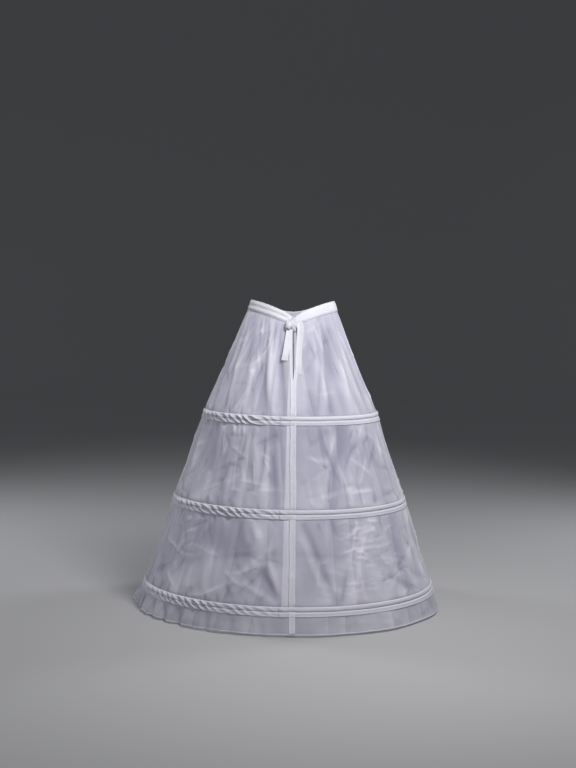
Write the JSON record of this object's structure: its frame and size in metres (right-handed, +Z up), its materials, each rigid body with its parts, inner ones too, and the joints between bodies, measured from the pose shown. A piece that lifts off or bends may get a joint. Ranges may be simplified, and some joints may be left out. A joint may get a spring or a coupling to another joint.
{
  "type": "hooped petticoat",
  "caption": "Bell-shaped petticoat of sheer white cloth held out by sprung hoops in sewn casings, with a drawstring waistband, a tied back slit and a ruffled flounce.",
  "frame": {"origin": "middle of the waist opening, level with the top of the band at the hips", "axes": "+Z up, +Y the way the wearer faces, so the tie and slit are at -Y; +X the wearer's right"},
  "size_m": [0.9018, 0.8944, 0.895],
  "materials": {
    "skirt_cloth": "sheer white taffeta, soft sheen",
    "casing_cloth": "two layers of white taffeta",
    "band_cloth": "white lining cloth, folded",
    "tie_tape": "white woven tape",
    "hoop_wire": "drawn spring wire",
    "sleeve_metal": "crimped tube"
  },
  "bodies": {
    "root": {"waistband": "band_cloth", "waist_drawstring": "tie_tape", "tie_knot": "tie_tape", "tie_loop": "tie_tape", "tie_left_tail": "tie_tape", "tie_right_tail": "tie_tape", "front_panel": "skirt_cloth", "back_left_panel": "skirt_cloth", "back_right_panel": "skirt_cloth", "slit_left_binding": "band_cloth", "slit_right_binding": "band_cloth", "centre_back_tape": "band_cloth", "upper_hoop": "hoop_wire", "middle_hoop": "hoop_wire", "lower_hoop": "hoop_wire", "upper_hoop_sleeve": "sleeve_metal", "middle_hoop_sleeve": "sleeve_metal", "lower_hoop_sleeve": "sleeve_metal", "upper_casing": "casing_cloth", "middle_casing": "casing_cloth", "lower_casing": "casing_cloth", "flounce": "skirt_cloth"}
  },
  "joints": []
}
